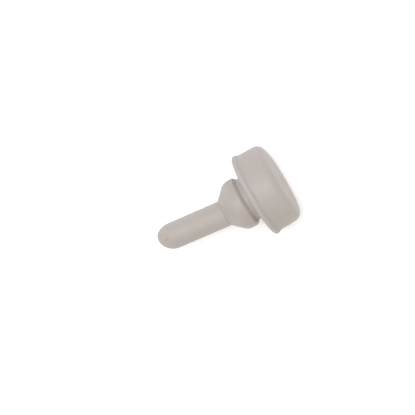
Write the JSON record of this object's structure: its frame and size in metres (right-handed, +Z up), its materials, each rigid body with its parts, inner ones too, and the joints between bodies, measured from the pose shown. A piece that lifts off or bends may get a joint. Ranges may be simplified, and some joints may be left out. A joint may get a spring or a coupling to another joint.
{
  "type": "wall anchor",
  "caption": "Hammer-in wall anchor: round-nosed expansion plug, cupped conical bush, drive pin with soft washer, and a round press-on cover cap over the pin's head.",
  "frame": {"origin": "centre of the ring on the cap base that bears on the wall or the fixture", "axes": "+X along the anchor's axis, out of the wall towards the cap's face; +Z up; the plug leans towards +Y"},
  "size_m": [0.0305, 0.0196, 0.0196],
  "materials": {
    "moulding": "satin, milky warm light grey",
    "pin": "natural off-white",
    "washer": "matt grey"
  },
  "bodies": {
    "plug": {"wall_plug": "moulding"},
    "bush": {"conical_bush": "moulding"},
    "pin": {"drive_pin": "pin", "seal_washer": "washer"},
    "base": {"cap_base": "moulding"},
    "cap": {"cover_cap": "moulding"}
  },
  "joints": [
    {"name": "bush_lean", "type": "hinge", "parent": "plug", "child": "bush", "pos_m": [-0.0079, 0, 0], "axis": [0, 0, 1], "range_deg": [-15, 1]},
    {"name": "pin_drive", "type": "slide", "parent": "bush", "child": "pin", "axis": [-1, 0, 0], "range_m": [-0.005, 0]},
    {"name": "base_spin", "type": "hinge", "parent": "pin", "child": "base", "pos_m": [0, 0, 0], "axis": [1, 0, 0], "continuous": true},
    {"name": "cap_pull", "type": "slide", "parent": "base", "child": "cap", "axis": [1, 0, 0], "range_m": [0, 0.008]}
  ]
}
